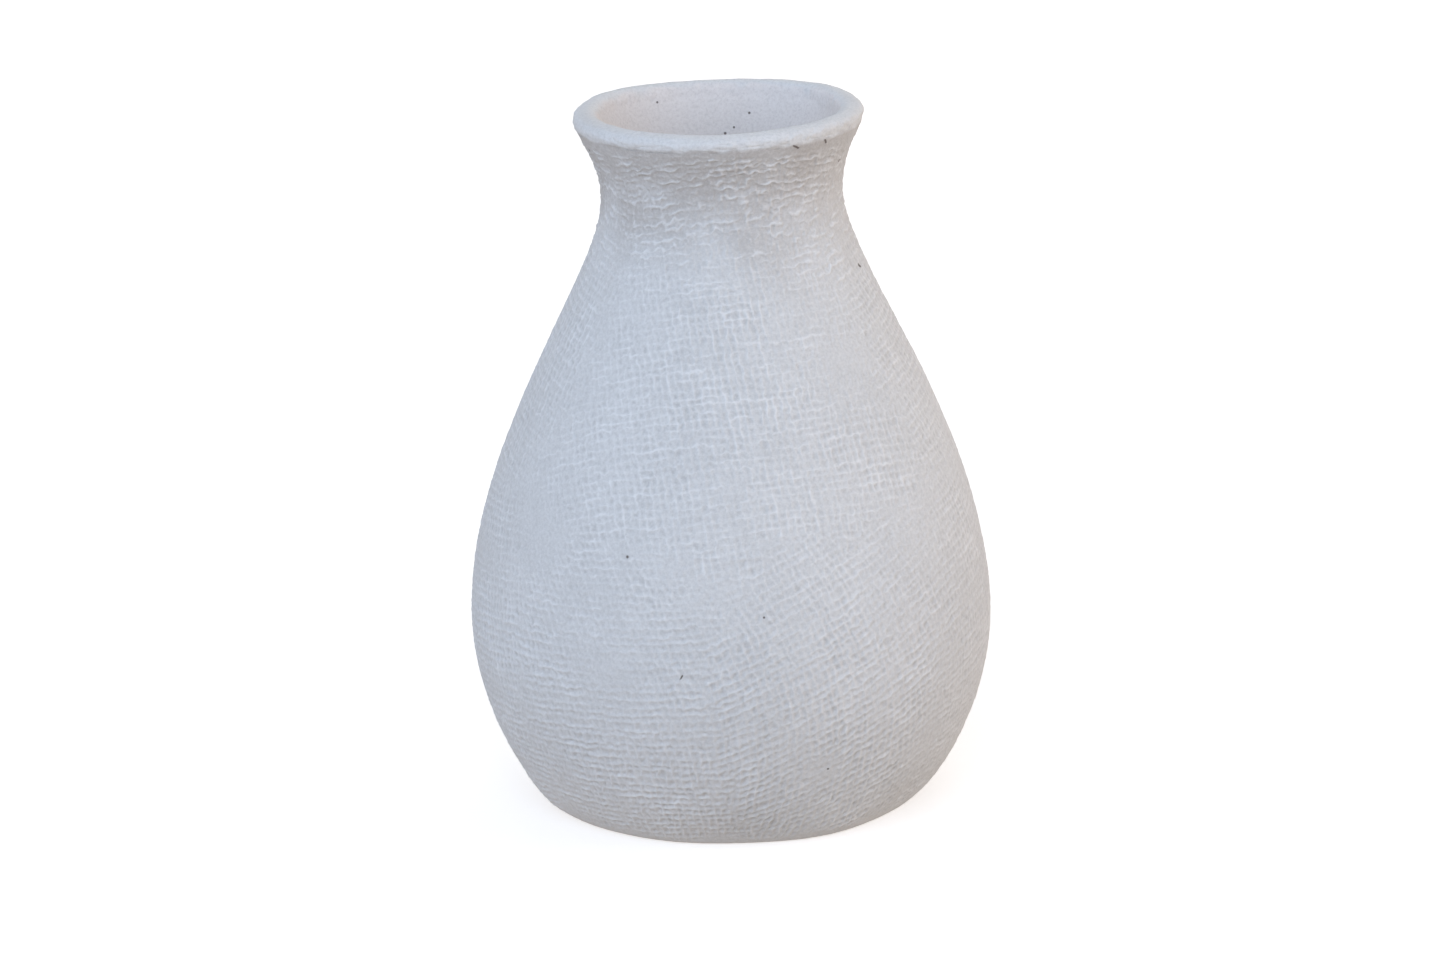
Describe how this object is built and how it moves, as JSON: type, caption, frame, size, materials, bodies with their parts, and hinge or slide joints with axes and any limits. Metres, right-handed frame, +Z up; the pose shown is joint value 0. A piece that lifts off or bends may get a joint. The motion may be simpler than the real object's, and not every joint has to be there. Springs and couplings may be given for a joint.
{
  "type": "bud vase",
  "caption": "Hand-built ceramic bud vase with a cloth-pressed surface, a full belly, a drawn-in neck and a smooth flared lip, for holding a few cut or dried stems.",
  "frame": {"origin": "on the vase's axis, at the level of the ring underneath that it stands on", "axes": "+Z up along the vase's axis, towards the mouth; the vase is round, so +X and +Y are any two sides"},
  "size_m": [0.1106, 0.1106, 0.15],
  "materials": {
    "clay_smooth": "matte, smoothed with a wet finger",
    "clay_cloth_pressed": "matte, pressed all over with a coarse plain-woven cloth",
    "clay_lip": "matte, smoothed, with a few pinholes"
  },
  "bodies": {
    "root": {"base_slab": "clay_smooth", "belly_wall": "clay_cloth_pressed", "shoulder_wall": "clay_cloth_pressed", "lip_coil": "clay_lip", "floor_seam_coil": "clay_smooth", "belly_seam_coil": "clay_smooth"}
  },
  "joints": []
}
